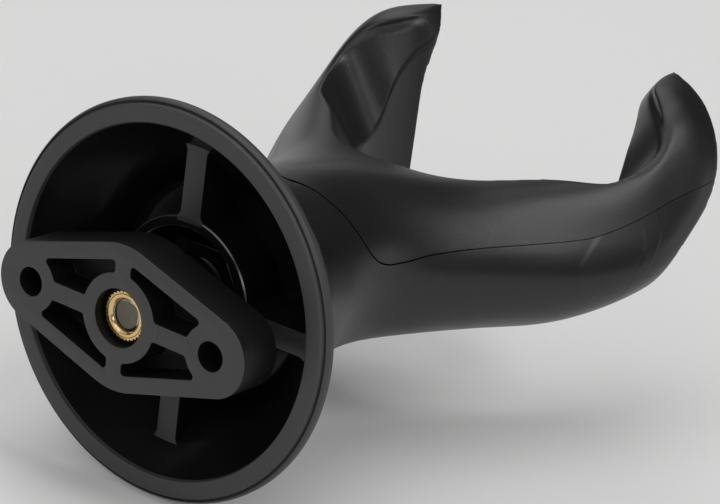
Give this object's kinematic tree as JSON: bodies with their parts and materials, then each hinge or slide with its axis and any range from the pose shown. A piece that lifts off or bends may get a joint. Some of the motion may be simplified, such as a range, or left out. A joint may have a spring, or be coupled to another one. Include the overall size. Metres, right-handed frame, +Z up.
{
  "type": "wall guitar hanger",
  "caption": "Wall hanger for a guitar: a wall plate with a stud, and a round cup and padded yoke that screw on and hold the neck.",
  "frame": {"origin": "centre of the wall plate's back, where the stud axis meets the wall face", "axes": "+Y along the stud into the wall, so the arms point along -Y; +Z up; +X along the two screw holes"},
  "size_m": [0.1012, 0.1427, 0.076],
  "materials": {
    "plate_plastic": "fine-grained black moulded plastic",
    "brass": "bright turned brass",
    "stud_steel": "dull zinc-plated steel",
    "cup_plastic": "black moulded plastic, fine-grained rim and smooth inside",
    "nut_steel": "blackened steel",
    "yoke_plastic": "satin black moulded plastic",
    "pad_rubber": "soft satin black elastomer"
  },
  "bodies": {
    "wall_mounting": {"wall_plate": "plate_plastic", "brass_insert": "brass", "threaded_stud": "stud_steel"},
    "thread_carrier": {"swivel_washer": "nut_steel"},
    "yoke": {"wall_cup": "cup_plastic", "cup_washer": "nut_steel", "cup_nut": "nut_steel", "neck_bush": "brass", "yoke_body": "yoke_plastic", "cradle_pad": "pad_rubber"}
  },
  "joints": [
    {"name": "thread_advance", "type": "slide", "parent": "wall_mounting", "child": "thread_carrier", "axis": [0, 1, 0], "range_m": [-0.01001, 0.00826]},
    {"name": "yoke_turn", "type": "hinge", "parent": "thread_carrier", "child": "yoke", "pos_m": [0, -0.0194, 0], "axis": [0, 1, 0], "range_deg": [-3600, 2970]}
  ],
  "couplings": [
    {"joint": "thread_advance", "follows": "yoke_turn", "m_per_rad": 0.00015915}
  ]
}
